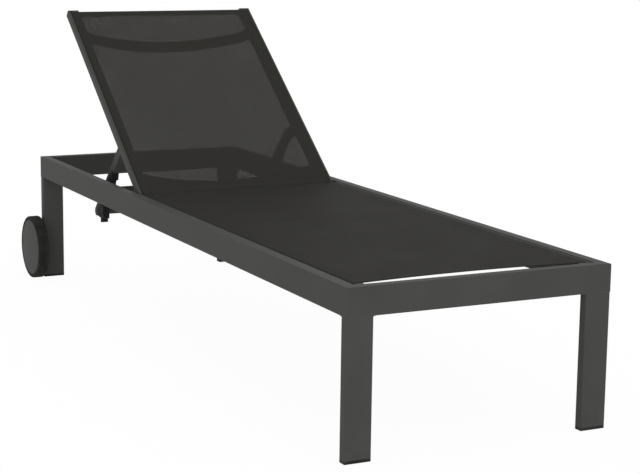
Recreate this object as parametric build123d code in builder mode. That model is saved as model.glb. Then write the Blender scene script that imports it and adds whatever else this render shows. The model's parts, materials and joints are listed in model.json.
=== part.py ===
from build123d import *
import os
from math import asin, atan2, cos, hypot, radians, sin, sqrt

# Reclining sun lounger: a mitred tube frame on four legs with a wheel outside each rear leg, a seat
# sling, and a sling backrest propped by two notched support arms. Millimetres. X runs to the foot end,
# Y across and Z up; the origin is on the floor under the middle. Left is -Y and right is +Y.

os.makedirs("parts", exist_ok=True)

# Frame of rectangular tube
frame_length = 1950.0
frame_width = 616.0
frame_height = 354.0
rail_height = 60.0
rail_width = 25.0
leg_width = 60.0
leg_depth = 22.0
tube_wall = 2.0
tube_radius = 2.5
foot_height = 7.0
foot_plug = 22.0
foot_edge = 1.5

# Grooved extrusion that holds a sling, used beside the seat and as the backrest's uprights
profile_width = 32.0
profile_depth = 22.0
profile_wall = 2.0
profile_radius = 3.0
groove_inset = 8.0      # outer side to the middle of the groove
groove_mouth = 3.0
groove_bore = 8.0
groove_depth = 7.5      # sling face to the middle of the groove's bore
groove_wall = 2.5       # between the groove's bore and the hollow
spline_diameter = 7.4
sling_thickness = 1.4
sling_sag = 3.0
spline_gap = 0.3        # between a sling's edge and its spline rod

# Bowed crossbars
bar_height = 28.0       # along the sling
bar_depth = 20.0
bar_bow = 40.0
bar_wall = 1.5
bar_radius = 4.0

# Seat
seat_drop = 2.0         # sling rails below the top of the frame
seat_rear_gap = 19.0    # pivot to the rear end of the sling rails
seat_sling_overhang = 3.5  # past the rear end of the sling rails
seat_hem_gap = 11.0     # foot rail to the corners of the sling
seat_hem_arc = 18.0     # hollow of the front hem
seat_bar_front = 560.0  # foot end of the frame to the crossbars
seat_bar_rear = 1110.0
seat_screw_count = 4
seat_screw_margin = 130.0
seat_screw_drop = 5.0   # below the middle of the sling rails, clear of the groove

# Backrest
pivot_from_foot = 1221.0
pivot_gap = 7.5         # side rail to upright
recline_angle = 37.6
upright_length = 712.0  # pivot to the top of the end cap
upright_tail = 12.0     # pivot to the bottom end
cap_thickness = 4.0
cap_plug = 18.0
cap_edge = 1.5
tail_cap = 3.0          # plug at the bottom end: outside and inside the tube
tail_plug = 3.5
back_sling_bottom = -3.0  # along the upright from the pivot
back_sling_top_gap = 3.0
back_spline_bottom = 8.0
back_bar_low = 59.5
back_bar_top_gap = 105.0  # top of the end cap to the upper crossbar
pivot_diameter = 10.0
pivot_head = 18.0
pivot_head_height = 5.5
pivot_washer = 26.0
pivot_nut = 14.0
pivot_nut_length = 14.0
pivot_nut_collar = 18.0
pivot_nut_collar_height = 2.5

# Support arms, their notched strips and the bar that they hook on
arm_pivot_up = 230.0    # along the upright from the pivot
arm_pivot_back = 25.0   # behind the upright's middle
arm_inset = 4.5         # upright's inner side to the arm's middle
arm_width = 25.0
arm_thickness = 14.0
arm_past_bar = 129.0    # rest bar to the round end's centre, along the arm
arm_bolt_diameter = 8.0
arm_bolt_head = 15.0
arm_bolt_head_height = 4.5
arm_nut_height = 6.5
arm_nut_width = 13.0
lug_thickness = 5.0
lug_radius = 13.0
lug_base = 44.0
lug_gap = 0.6           # lug to arm
tie_diameter = 20.0
tie_wall = 1.5
rest_bar_back = 307.9   # behind the pivot
rest_bar_drop = 29.6    # below the pivot
rest_bar_diameter = 20.0
rest_bar_wall = 2.0
rack_base = 3.5
rack_height = 12.5
cheek_thickness = 2.0   # sides of the strip, which hold it on the arm like a channel
cheek_reach = 9.5
rack_ramp = 19.0
rack_above = 59.0       # rest bar to the strip's upper end, along the arm
rack_below = 34.0       # rest bar to the end of the lowest tooth
notch_count = 2
notch_pitch = 28.0
notch_clearance = 0.4
notch_lift = 12.0       # degrees by which a notch's mouth rises
block_below = 91.6      # rest bar to the middle of the strip's end block
block_reach = 17.0      # block's middle to its tip, towards the foot end
block_rise = 15.0
block_fall = 20.4
block_chamfer = 3.0
stop_width = 10.0       # finger under the block
stop_length = 11.5
stop_radius = 3.0
rack_screw_diameter = 4.0
rack_screw_head = 8.0
rack_screw_head_height = 2.4
rack_screw_bite = 8.0
rack_screw_upper = 26.0  # rest bar to the screws, along the arm
rack_screw_lower = 110.0

# Screws into the side rails
screw_diameter = 5.0
screw_head = 10.0
screw_head_height = 3.2
screw_bite = 8.0        # past the face that it is driven into
socket_share = 0.5      # hex socket's width over the head's width
socket_depth_share = 0.6
head_taper = 18.0

# Wheels
wheel_diameter = 180.0
wheel_width = 31.0
wheel_spacer = 8.0
spacer_diameter = 20.0
tyre_thickness = 10.0
tyre_shoulder = 5.0
hub_rim_inset = 2.0
hub_rim_thickness = 6.0
hub_web_thickness = 4.0
hub_boss_diameter = 34.0
hub_boss_length = 22.0
hub_rib_count = 8
hub_rib_thickness = 3.0
hub_rib_overlap = 2.0
hub_rib_inset = 5.0
cap_rim_gap = 1.0       # cover cap to the tyre
cap_sheet = 1.6
cap_dome = 2.4
cap_lip = 6.0
axle_diameter = 10.0
axle_head = 20.0
axle_head_height = 3.2
axle_nut = 14.0
axle_nut_length = 16.0
axle_nut_collar = 16.0
axle_nut_collar_height = 2.5

# Clearances
running_clearance = 0.05
fit_gap = 0.1
face_gap = 0.3
least_radius = 0.2

# Places that follow from the sizes
sides = (("left", -1), ("right", 1))
wheel_overhang = (wheel_diameter - leg_depth) / 2
frame_front = (frame_length + wheel_overhang) / 2
frame_rear = frame_front - frame_length
rail_bottom = frame_height - rail_height
rail_face = frame_width / 2 - rail_width
foot_face = frame_front - rail_width
seat_level = frame_height - seat_drop
middle = profile_depth / 2
pivot = Vector(frame_front - pivot_from_foot, 0, seat_level - middle)
seat_rear = pivot.X + seat_rear_gap
back_face = rail_face - pivot_gap
seat_inner = rail_face - profile_width
back_inner = back_face - profile_width
arm_middle = back_inner - arm_inset
axle_x = frame_rear + leg_depth / 2
axle_z = wheel_diameter / 2
wheel_face = frame_width / 2 + wheel_spacer

recline = radians(recline_angle)
up = Vector(-cos(recline), 0, sin(recline))
front = Vector(sin(recline), 0, cos(recline))

arm_pivot = pivot + up * arm_pivot_up - front * arm_pivot_back
rest_bar_axis = pivot - Vector(rest_bar_back, 0, rest_bar_drop)
notch_radius = rest_bar_diameter / 2 + notch_clearance
notch_offset = arm_width / 2 + rack_base + notch_radius
arm_run = arm_pivot.X - rest_bar_axis.X
arm_fall = arm_pivot.Z - rest_bar_axis.Z
arm_reach = hypot(arm_run, arm_fall)
arm_slope = atan2(arm_fall, arm_run) - asin(notch_offset / arm_reach)
rest_notch = sqrt(arm_reach**2 - notch_offset**2)
down = Vector(-cos(arm_slope), 0, -sin(arm_slope))
arm_out = Vector(sin(arm_slope), 0, -cos(arm_slope))
arm_end = rest_notch + arm_past_bar


def save(piece, name):
    piece.part.label = name
    export_step(piece.part, f"parts/{name}.step")


def seat_section(x):
    """Plane across the seat, level with the middle of its sling rails."""
    return Plane(origin=(x, 0, pivot.Z), x_dir=(0, 1, 0), z_dir=(1, 0, 0))


def back_section(along):
    """Plane across the backrest, that far up from the pivot."""
    return Plane(origin=pivot + up * along, x_dir=(0, -1, 0), z_dir=up)


def back_side(y):
    """Plane beside the backrest, with its x up the backrest and its y out of the sling face."""
    return Plane(origin=pivot + Vector(0, y, 0), x_dir=up, z_dir=(0, 1, 0))


def arm_side(y):
    """Plane beside a support arm, with its x down the arm and its y towards the foot end."""
    return Plane(origin=arm_pivot + Vector(0, y, 0), x_dir=down, z_dir=(0, -1, 0))


def notch_side(y):
    """Upright plane about the rest bar, with its x towards the foot end and its y up."""
    return Plane(origin=rest_bar_axis + Vector(0, y, 0), x_dir=(1, 0, 0), z_dir=(0, -1, 0))


def across(x, y, z, way):
    """Plane square to Y that faces way (+1 or -1)."""
    return Plane(origin=(x, y, z), x_dir=(1, 0, 0), z_dir=(0, way, 0))


def mitre(end, side):
    """Plane of a frame corner's mitre; its normal points at the end rail."""
    x = frame_front if end > 0 else frame_rear
    return Plane(origin=(x, side * frame_width / 2, 0), x_dir=(0, 0, 1), z_dir=(end, -side, 0))


def tube_outline(width, height):
    inner_radius = max(tube_radius - tube_wall, least_radius)
    RectangleRounded(width, height, tube_radius)
    RectangleRounded(width - 2 * tube_wall, height - 2 * tube_wall, inner_radius, mode=Mode.SUBTRACT)


def groove_profile(outer, inward):
    """Grooved extrusion that starts at outer and runs inward, with its sling face up."""
    groove = outer + inward * groove_inset
    hollow_start = groove_inset + groove_bore / 2 + groove_wall
    hollow_width = profile_width - profile_wall - hollow_start
    hollow_middle = outer + inward * (hollow_start + hollow_width / 2)
    hollow_radius = max(profile_radius - profile_wall, least_radius)
    with Locations((outer + inward * profile_width / 2, 0)):
        RectangleRounded(profile_width, profile_depth, profile_radius)
    with Locations((hollow_middle, 0)):
        RectangleRounded(
            hollow_width, profile_depth - 2 * profile_wall, hollow_radius, mode=Mode.SUBTRACT
        )
    with Locations((groove, middle - groove_depth)):
        Circle(groove_bore / 2, mode=Mode.SUBTRACT)
        Rectangle(
            groove_mouth, groove_depth, align=(Align.CENTER, Align.MIN), mode=Mode.SUBTRACT
        )


def cap_outline(outer, inward):
    with Locations((outer + inward * profile_width / 2, 0)):
        RectangleRounded(profile_width, profile_depth, profile_radius)


def plug_outline(outer, inward):
    """What fits the hollow of the grooved extrusion."""
    hollow_start = groove_inset + groove_bore / 2 + groove_wall + fit_gap
    plug_width = profile_width - profile_wall - fit_gap - hollow_start
    plug_depth = profile_depth - 2 * (profile_wall + fit_gap)
    plug_radius = max(profile_radius - profile_wall, least_radius)
    with Locations((outer + inward * (hollow_start + plug_width / 2), 0)):
        RectangleRounded(plug_width, plug_depth, plug_radius)


def sling_outline(outer, inner):
    """Sling's section: edges that turn down into both grooves, and a shallow sag between."""
    groove = outer - groove_inset
    half = sling_thickness / 2
    top = middle + sling_thickness
    edge = middle - groove_depth + spline_diameter / 2 + spline_gap
    with BuildLine() as outline:
        Polyline((-inner, top), (-groove - half, top), (-groove - half, edge), (-groove + half, edge),
                 (-groove + half, middle), (-inner, middle))
        ThreePointArc((-inner, middle), (0, middle - sling_sag), (inner, middle))
        Polyline((inner, middle), (groove - half, middle), (groove - half, edge), (groove + half, edge),
                 (groove + half, top), (inner, top))
        ThreePointArc((inner, top), (0, top - sling_sag), (-inner, top))
    make_face(outline.edges())


def spline_rod(section, outer, side, length, name):
    with BuildPart() as rod:
        with BuildSketch(section):
            with Locations((side * (outer - groove_inset), middle - groove_depth)):
                Circle(spline_diameter / 2)
        extrude(amount=length)
    save(rod, name)


def bar_band(half_span, half):
    """Bowed band across a sling, that far to either side of its middle line."""
    with BuildLine() as outline:
        ThreePointArc((-half_span, half), (0, half - bar_bow), (half_span, half))
        Line((half_span, half), (half_span, -half))
        ThreePointArc((half_span, -half), (0, -half - bar_bow), (-half_span, -half))
        Line((-half_span, -half), (-half_span, half))
    make_face(outline.edges())


def bowed_bar(section, half_span, name):
    """Hollow crossbar that bows away from the sling, with square ends against both sling rails."""
    with BuildPart() as hollow:
        with BuildSketch(section):
            bar_band(half_span, bar_depth / 2 - bar_wall)
        extrude(amount=bar_height / 2 - bar_wall, both=True)
        fillet(hollow.edges().filter_by(GeomType.CIRCLE), max(bar_radius - bar_wall, least_radius))
    with BuildPart() as bar:
        with BuildSketch(section):
            bar_band(half_span, bar_depth / 2)
        extrude(amount=bar_height / 2, both=True)
        fillet(bar.edges().filter_by(GeomType.CIRCLE), bar_radius)
        add(hollow.part, mode=Mode.SUBTRACT)
    save(bar, name)


def add_bolt(seat, shank, length, head, head_height):
    """Button-head bolt in the part being built: shank ahead of the plane, head behind it."""
    with BuildSketch(seat) as shank_end:
        Circle(shank / 2)
    extrude(shank_end.sketch, amount=length)
    with BuildSketch(seat) as head_face:
        Circle(head / 2)
    extrude(head_face.sketch, amount=-head_height, taper=head_taper)
    with BuildSketch(seat.offset(-head_height)) as socket:
        RegularPolygon(head * socket_share / 2, 6)
    extrude(socket.sketch, amount=head_height * socket_depth_share, mode=Mode.SUBTRACT)


def add_nut(seat, bore, width, height):
    with BuildSketch(seat) as face:
        RegularPolygon(width / 2, 6, major_radius=False)
        Circle(bore / 2 + fit_gap, mode=Mode.SUBTRACT)
    extrude(face.sketch, amount=height)


def add_ring(seat, outer, bore, height):
    with BuildSketch(seat) as face:
        Circle(outer / 2)
        Circle(bore / 2 + fit_gap, mode=Mode.SUBTRACT)
    extrude(face.sketch, amount=height)


def add_insert(seat, outer, bore, length, collar, collar_height):
    """Threaded insert in a tube's wall: it starts at the plane, with its collar behind the wall."""
    add_ring(seat, outer, bore, length)
    add_ring(seat.offset(tube_wall), collar, bore, collar_height)


def drill_wall(seat, diameter):
    """Hole in one wall of the tube being built; the plane lies on it and points into the tube."""
    with BuildSketch(seat) as hole:
        Circle(diameter / 2 + fit_gap)
    extrude(hole.sketch, amount=2 * tube_wall, mode=Mode.SUBTRACT)


seat_screw_run = foot_face - seat_rear - 2 * seat_screw_margin
seat_screw_step = seat_screw_run / (seat_screw_count - 1)
seat_screw_places = [seat_rear + seat_screw_margin + i * seat_screw_step for i in range(seat_screw_count)]
seat_screw_level = pivot.Z - seat_screw_drop


# Frame rails

def side_rail(name, side):
    with BuildPart() as rail:
        with BuildSketch(Plane.YZ.offset(frame_rear)):
            with Locations((side * (frame_width - rail_width) / 2, frame_height - rail_height / 2)):
                tube_outline(rail_width, rail_height)
        extrude(amount=frame_length)
        for end in (-1, 1):
            split(bisect_by=mitre(end, side), keep=Keep.BOTTOM)
        drill_wall(across(pivot.X, side * rail_face, pivot.Z, side), pivot_nut)
        for x in seat_screw_places:
            drill_wall(across(x, side * rail_face, seat_screw_level, side), screw_diameter)
    save(rail, f"side_rail_{name}")


def end_rail(name, end):
    middle_x = frame_front - rail_width / 2 if end > 0 else frame_rear + rail_width / 2
    with BuildPart() as rail:
        with BuildSketch(Plane.XZ):
            with Locations((middle_x, frame_height - rail_height / 2)):
                tube_outline(rail_width, rail_height)
        extrude(amount=frame_width / 2, both=True)
        for _, side in sides:
            split(bisect_by=mitre(end, side), keep=Keep.TOP)
    save(rail, name)


for side_name, side in sides:
    side_rail(side_name, side)
end_rail("foot_rail", 1)
end_rail("head_rail", -1)


# Legs and their feet

def leg(name, x, side, axle_hole):
    y = side * (frame_width - leg_width) / 2
    with BuildPart() as tube:
        with BuildSketch(Plane.XY.offset(foot_height)):
            with Locations((x, y)):
                tube_outline(leg_depth, leg_width)
        extrude(amount=rail_bottom - foot_height)
        if axle_hole:
            drill_wall(across(x, side * frame_width / 2, axle_z, -side), axle_nut)
    save(tube, f"leg_{name}")

    plug_width = leg_depth - 2 * (tube_wall + fit_gap)
    plug_length = leg_width - 2 * (tube_wall + fit_gap)
    plug_radius = max(tube_radius - tube_wall, least_radius)
    with BuildPart() as foot:
        with BuildSketch(Plane.XY):
            with Locations((x, y)):
                RectangleRounded(leg_depth, leg_width, tube_radius)
        extrude(amount=foot_height)
        fillet(foot.edges().group_by(Axis.Z)[0], foot_edge)
        with BuildSketch(Plane.XY.offset(foot_height)):
            with Locations((x, y)):
                RectangleRounded(plug_width, plug_length, plug_radius)
        extrude(amount=foot_plug)
    save(foot, f"foot_{name}")


for side_name, side in sides:
    leg(f"front_{side_name}", frame_front - leg_depth / 2, side, False)
    leg(f"rear_{side_name}", axle_x, side, True)


# Seat: sling rails, crossbars, sling and spline rods

def seat_rail(name, side):
    with BuildPart() as rail:
        with BuildSketch(seat_section(seat_rear)):
            groove_profile(side * rail_face, -side)
        extrude(amount=foot_face - seat_rear)
        for x in seat_screw_places:
            with BuildSketch(across(x, side * rail_face, seat_screw_level, -side)):
                Circle(screw_diameter / 2 + fit_gap)
            extrude(amount=profile_width, mode=Mode.SUBTRACT)
    save(rail, f"seat_rail_{name}")


for side_name, side in sides:
    seat_rail(side_name, side)

bowed_bar(seat_section(frame_front - seat_bar_front), seat_inner, "seat_crossbar_front")
bowed_bar(seat_section(frame_front - seat_bar_rear), seat_inner, "seat_crossbar_rear")

seat_hem = foot_face - seat_hem_gap
seat_sling_rear = seat_rear - seat_sling_overhang
seat_edge = rail_face - groove_inset + sling_thickness

with BuildPart() as seat_sling:
    with BuildSketch(seat_section(seat_sling_rear)):
        sling_outline(rail_face, seat_inner)
    extrude(amount=seat_hem - seat_sling_rear)
    with BuildSketch(Plane.XY.offset(seat_level)):
        with BuildLine():
            ThreePointArc((seat_hem, -seat_edge), (seat_hem - seat_hem_arc, 0), (seat_hem, seat_edge))
            Line((seat_hem, seat_edge), (seat_hem, -seat_edge))
        make_face()
    extrude(amount=profile_depth, both=True, mode=Mode.SUBTRACT)
save(seat_sling, "seat_sling")

for side_name, side in sides:
    spline_rod(seat_section(seat_rear), rail_face, side, seat_hem - seat_rear, f"seat_spline_{side_name}")

with BuildPart() as seat_rail_screws:
    for _, side in sides:
        for x in seat_screw_places:
            add_bolt(across(x, side * seat_inner, seat_screw_level, side), screw_diameter,
                     profile_width + screw_bite, screw_head, screw_head_height)
save(seat_rail_screws, "seat_rail_screws")


# Pivots of the backrest

with BuildPart() as pivot_bolts:
    for _, side in sides:
        add_bolt(across(pivot.X, side * (back_inner - face_gap), pivot.Z, side), pivot_diameter,
                 rail_face + pivot_nut_length - back_inner + face_gap, pivot_head, pivot_head_height)
save(pivot_bolts, "pivot_bolts")

with BuildPart() as pivot_nuts:
    for _, side in sides:
        add_insert(across(pivot.X, side * rail_face, pivot.Z, side), pivot_nut, pivot_diameter,
                   pivot_nut_length, pivot_nut_collar, pivot_nut_collar_height)
save(pivot_nuts, "pivot_nuts")

with BuildPart() as pivot_washers:
    for _, side in sides:
        add_ring(across(pivot.X, side * (back_face + face_gap), pivot.Z, side), pivot_washer,
                 pivot_diameter, rail_face - back_face - face_gap)
save(pivot_washers, "pivot_washers")


# Rest bar between the side rails

with BuildPart() as rest_bar:
    with BuildSketch(across(rest_bar_axis.X, 0, rest_bar_axis.Z, 1)):
        Circle(rest_bar_diameter / 2)
        Circle(rest_bar_diameter / 2 - rest_bar_wall, mode=Mode.SUBTRACT)
    extrude(amount=rail_face, both=True)
save(rest_bar, "rest_bar")


# Backrest: uprights, crossbars, sling, spline rods, caps and lugs

tube_top = upright_length - cap_thickness
tube_bottom = tail_cap - upright_tail


def upright(name, side):
    with BuildPart() as tube:
        with BuildSketch(back_section(tube_bottom)):
            groove_profile(-side * back_face, side)
        extrude(amount=tube_top - tube_bottom)
        with BuildSketch(across(pivot.X, side * back_face, pivot.Z, -side)):
            Circle(pivot_diameter / 2 + running_clearance)
        extrude(amount=profile_width, mode=Mode.SUBTRACT)
    save(tube, f"back_upright_{name}")

    with BuildPart() as cap:
        with BuildSketch(back_section(tube_top)):
            cap_outline(-side * back_face, side)
        extrude(amount=cap_thickness)
        fillet(cap.faces().sort_by(Axis(pivot, up))[-1].edges(), cap_edge)
        with BuildSketch(back_section(tube_top)):
            plug_outline(-side * back_face, side)
        extrude(amount=-cap_plug)
    save(cap, f"upright_cap_{name}")

    with BuildPart() as plug:
        with BuildSketch(back_section(tube_bottom)):
            cap_outline(-side * back_face, side)
        extrude(amount=-tail_cap)
        fillet(plug.faces().sort_by(Axis(pivot, up))[0].edges(), cap_edge)
        with BuildSketch(back_section(tube_bottom)):
            plug_outline(-side * back_face, side)
        extrude(amount=tail_plug)
    save(plug, f"upright_plug_{name}")


for side_name, side in sides:
    upright(side_name, side)

bowed_bar(back_section(back_bar_low), back_inner, "back_crossbar_low")
bowed_bar(back_section(upright_length - back_bar_top_gap), back_inner, "back_crossbar_high")

back_sling_top = tube_top - back_sling_top_gap

with BuildPart() as back_sling:
    with BuildSketch(back_section(back_sling_bottom)):
        sling_outline(back_face, back_inner)
    extrude(amount=back_sling_top - back_sling_bottom)
save(back_sling, "back_sling")

for side_name, side in sides:
    spline_rod(back_section(back_spline_bottom), back_face, -side, back_sling_top - back_spline_bottom,
               f"back_spline_{side_name}")

lug_inner = arm_middle + arm_thickness / 2 + lug_gap


def arm_lug(name, side):
    with BuildPart() as lug:
        with BuildSketch(back_side(side * (lug_inner + lug_thickness / 2))):
            with Locations((arm_pivot_up, -arm_pivot_back)):
                Circle(lug_radius)
            with Locations((arm_pivot_up, -middle)):
                Rectangle(lug_base, lug_thickness, align=(Align.CENTER, Align.MAX))
            make_hull()
            with Locations((arm_pivot_up, -arm_pivot_back)):
                Circle(arm_bolt_diameter / 2 + fit_gap, mode=Mode.SUBTRACT)
        extrude(amount=lug_thickness / 2, both=True)
    save(lug, f"arm_lug_{name}")


for side_name, side in sides:
    arm_lug(side_name, side)

arm_inner = arm_middle - arm_thickness / 2
lug_outer = lug_inner + lug_thickness

with BuildPart() as arm_bolts:
    for _, side in sides:
        add_bolt(across(arm_pivot.X, side * (arm_inner - face_gap), arm_pivot.Z, side),
                 arm_bolt_diameter, lug_outer + arm_nut_height - arm_inner + face_gap,
                 arm_bolt_head, arm_bolt_head_height)
save(arm_bolts, "arm_bolts")

with BuildPart() as arm_nuts:
    for _, side in sides:
        add_nut(across(arm_pivot.X, side * lug_outer, arm_pivot.Z, side), arm_bolt_diameter,
                arm_nut_width, arm_nut_height)
save(arm_nuts, "arm_nuts")


# Support arms, notched strips and tie bar

rack_screw_places = (rest_notch + rack_screw_upper, rest_notch + rack_screw_lower)
rack_screw_length = arm_width + rack_screw_bite


def on_arm(along, off):
    """A place on the arm, as seen in the plane about the rest bar."""
    fall = along - rest_notch
    out = off - notch_offset
    return (out * sin(arm_slope) - fall * cos(arm_slope), -out * cos(arm_slope) - fall * sin(arm_slope))


def rack_screw_seat(side, along):
    """Plane on the arm's head-side face that points through the arm into its notched strip."""
    origin = arm_pivot + Vector(0, side * arm_middle, 0) + down * along - arm_out * (arm_width / 2)
    return Plane(origin=origin, x_dir=(0, 1, 0), z_dir=arm_out)


def arm_outline():
    with Locations((arm_end / 2, 0)):
        SlotCenterToCenter(arm_end, arm_width)


def support_arm(name, side):
    with BuildPart() as arm:
        with BuildSketch(arm_side(side * arm_middle)):
            arm_outline()
            Circle(arm_bolt_diameter / 2 + running_clearance, mode=Mode.SUBTRACT)
        extrude(amount=arm_thickness / 2, both=True)
        for along in rack_screw_places:
            with BuildSketch(rack_screw_seat(side, along)):
                Circle(rack_screw_diameter / 2 + fit_gap)
            extrude(amount=arm_width, mode=Mode.SUBTRACT)
    save(arm, f"support_arm_{name}")


def rack_outline():
    """Toothed part of a strip and the flat run-out to its end block."""
    face = arm_width / 2
    base = face + rack_base
    tip = face + rack_height
    top = rest_notch - rack_above
    heel = rest_notch + rack_below
    end = rest_notch + block_below
    with BuildLine() as outline:
        Polyline(on_arm(top, face), on_arm(top + rack_ramp, tip), on_arm(heel, tip), on_arm(heel, base),
                 on_arm(end, base), on_arm(end, face), close=True)
    make_face(outline.edges())


def block_outline():
    """End block of a strip, with its stop finger pointing straight down."""
    x, y = on_arm(rest_notch + block_below, notch_offset)
    face = arm_width / 2
    tip = x + block_reach
    bottom = y - block_fall
    left, right = x - stop_width / 2, x + stop_width / 2
    with BuildLine() as outline:
        Polyline(on_arm(rest_notch + block_below, face), (x, y + block_rise), (tip, y + block_rise),
                 (tip, bottom + block_chamfer), (tip - block_chamfer, bottom), (right, bottom),
                 (right, bottom - stop_length), (left, bottom - stop_length), (left, bottom),
                 on_arm(arm_end, face), close=True)
    make_face(outline.edges())


def cheek_outline():
    """Sides of a strip, from its upper end to just above the tie bar."""
    face = arm_width / 2
    top = rest_notch - rack_above
    end = arm_end - tie_diameter / 2 - face_gap
    with BuildLine() as outline:
        Polyline(on_arm(top, face), on_arm(top, face - cheek_reach), on_arm(end, face - cheek_reach),
                 on_arm(end, face), close=True)
    make_face(outline.edges())


def notched_strip(name, side):
    with BuildPart() as strip:
        with BuildSketch(notch_side(side * arm_middle)):
            rack_outline()
            block_outline()
            cheek_outline()
            for i in range(notch_count):
                rise = i * notch_pitch
                with Locations((rise * cos(arm_slope), rise * sin(arm_slope))):
                    Circle(notch_radius, mode=Mode.SUBTRACT)
                    Rectangle(rack_above, 2 * notch_radius, rotation=notch_lift,
                              align=(Align.MIN, Align.CENTER), mode=Mode.SUBTRACT)
        extrude(amount=arm_thickness / 2 + cheek_thickness, both=True)
        fillet(strip.edges().filter_by(Axis.Y).group_by(Axis.Z)[0], stop_radius)
        with BuildSketch(arm_side(side * arm_middle)):
            arm_outline()
        extrude(amount=arm_thickness / 2, both=True, mode=Mode.SUBTRACT)
        for along in rack_screw_places:
            with BuildSketch(rack_screw_seat(side, along)):
                Circle(rack_screw_diameter / 2 + fit_gap)
            extrude(amount=rack_screw_length + fit_gap, mode=Mode.SUBTRACT)
    save(strip, f"notched_strip_{name}")


for side_name, side in sides:
    support_arm(side_name, side)
    notched_strip(side_name, side)

with BuildPart() as rack_screws:
    for _, side in sides:
        for along in rack_screw_places:
            add_bolt(rack_screw_seat(side, along), rack_screw_diameter, rack_screw_length,
                     rack_screw_head, rack_screw_head_height)
save(rack_screws, "rack_screws")

tie_axis = arm_pivot + down * arm_end

with BuildPart() as arm_tie:
    with BuildSketch(across(tie_axis.X, 0, tie_axis.Z, 1)):
        Circle(tie_diameter / 2)
        Circle(tie_diameter / 2 - tie_wall, mode=Mode.SUBTRACT)
    extrude(amount=arm_inner, both=True)
save(arm_tie, "arm_tie")


# Wheels: tyre, hub and cover cap

tyre_inner = wheel_diameter / 2 - tyre_thickness
rim_inner = tyre_inner - hub_rim_thickness


def wheel_section(side):
    """Plane through the axle, with its x outwards along it and its y up."""
    origin = (axle_x, side * wheel_face, axle_z)
    return Plane(origin=origin, x_dir=(0, side, 0), z_dir=(side, 0, 0))


def wheel(name, side):
    section = wheel_section(side)
    axle = Axis(section.origin, (0, side, 0))

    with BuildPart() as tyre:
        with BuildSketch(section) as outline:
            with Locations((0, tyre_inner)):
                Rectangle(wheel_width, tyre_thickness, align=(Align.MIN, Align.MIN))
            fillet(outline.vertices().group_by(Axis.Y)[-1], tyre_shoulder)
        revolve(axis=axle)
    save(tyre, f"tyre_{name}")

    boss = hub_boss_diameter / 2
    bore = axle_diameter / 2 + running_clearance
    rib_run = rim_inner - boss + 2 * hub_rib_overlap
    web_start = (wheel_width - hub_web_thickness) / 2
    with BuildPart() as hub:
        with BuildSketch(section):
            with Locations((hub_rim_inset, rim_inner)):
                Rectangle(wheel_width - 2 * hub_rim_inset, hub_rim_thickness - fit_gap,
                          align=(Align.MIN, Align.MIN))
            with Locations((web_start, bore)):
                Rectangle(hub_web_thickness, rim_inner - bore + hub_rib_overlap,
                          align=(Align.MIN, Align.MIN))
            with Locations((face_gap, bore)):
                Rectangle(hub_boss_length - face_gap, boss - bore, align=(Align.MIN, Align.MIN))
        revolve(axis=axle)
        with BuildSketch(across(axle_x, side * (wheel_face + hub_rib_inset), axle_z, side)):
            with PolarLocations((boss + rim_inner) / 2, hub_rib_count):
                Rectangle(rib_run, hub_rib_thickness)
        extrude(amount=web_start - hub_rib_inset + hub_web_thickness / 2)
    save(hub, f"wheel_hub_{name}")

    rim_end = wheel_width - hub_rim_inset
    lip_outer = rim_inner - fit_gap
    cap_radius = tyre_inner - cap_rim_gap
    with BuildPart() as cap:
        with BuildSketch(section):
            with BuildLine():
                Polyline((rim_end + cap_sheet + cap_dome, 0), (rim_end, 0),
                         (rim_end, lip_outer - cap_sheet), (rim_end - cap_lip, lip_outer - cap_sheet),
                         (rim_end - cap_lip, lip_outer), (rim_end, lip_outer), (rim_end, cap_radius),
                         (rim_end + cap_sheet, cap_radius))
                TangentArc((rim_end + cap_sheet + cap_dome, 0), (rim_end + cap_sheet, cap_radius),
                           tangent=(0, 1))
            make_face()
        revolve(axis=axle)
    save(cap, f"wheel_cap_{name}")


for side_name, side in sides:
    wheel(side_name, side)

with BuildPart() as axle_bolts:
    for _, side in sides:
        seat = wheel_face + hub_boss_length + face_gap
        add_bolt(across(axle_x, side * seat, axle_z, -side), axle_diameter,
                 seat - frame_width / 2 + axle_nut_length, axle_head, axle_head_height)
save(axle_bolts, "axle_bolts")

with BuildPart() as axle_spacers:
    for _, side in sides:
        add_ring(across(axle_x, side * frame_width / 2, axle_z, side), spacer_diameter, axle_diameter,
                 wheel_spacer)
save(axle_spacers, "axle_spacers")

with BuildPart() as axle_nuts:
    for _, side in sides:
        add_insert(across(axle_x, side * frame_width / 2, axle_z, -side), axle_nut, axle_diameter,
                   axle_nut_length, axle_nut_collar, axle_nut_collar_height)
save(axle_nuts, "axle_nuts")
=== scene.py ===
# %% [markdown]
# # A reclining sun lounger
# The frame, legs, wheels and fittings come from the part's solids. This lesson dresses them: it weaves
# the two slings, folds and stitches their hems, fills the weld seams, and gives every surface a finish
# that is made of shader nodes alone. Lengths are in metres, X runs to the foot end, and Z is up.

# %% Load the frame
import json
import math
from collections import namedtuple

import bmesh
import bpy
from mathutils import Matrix, Vector, noise


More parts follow.
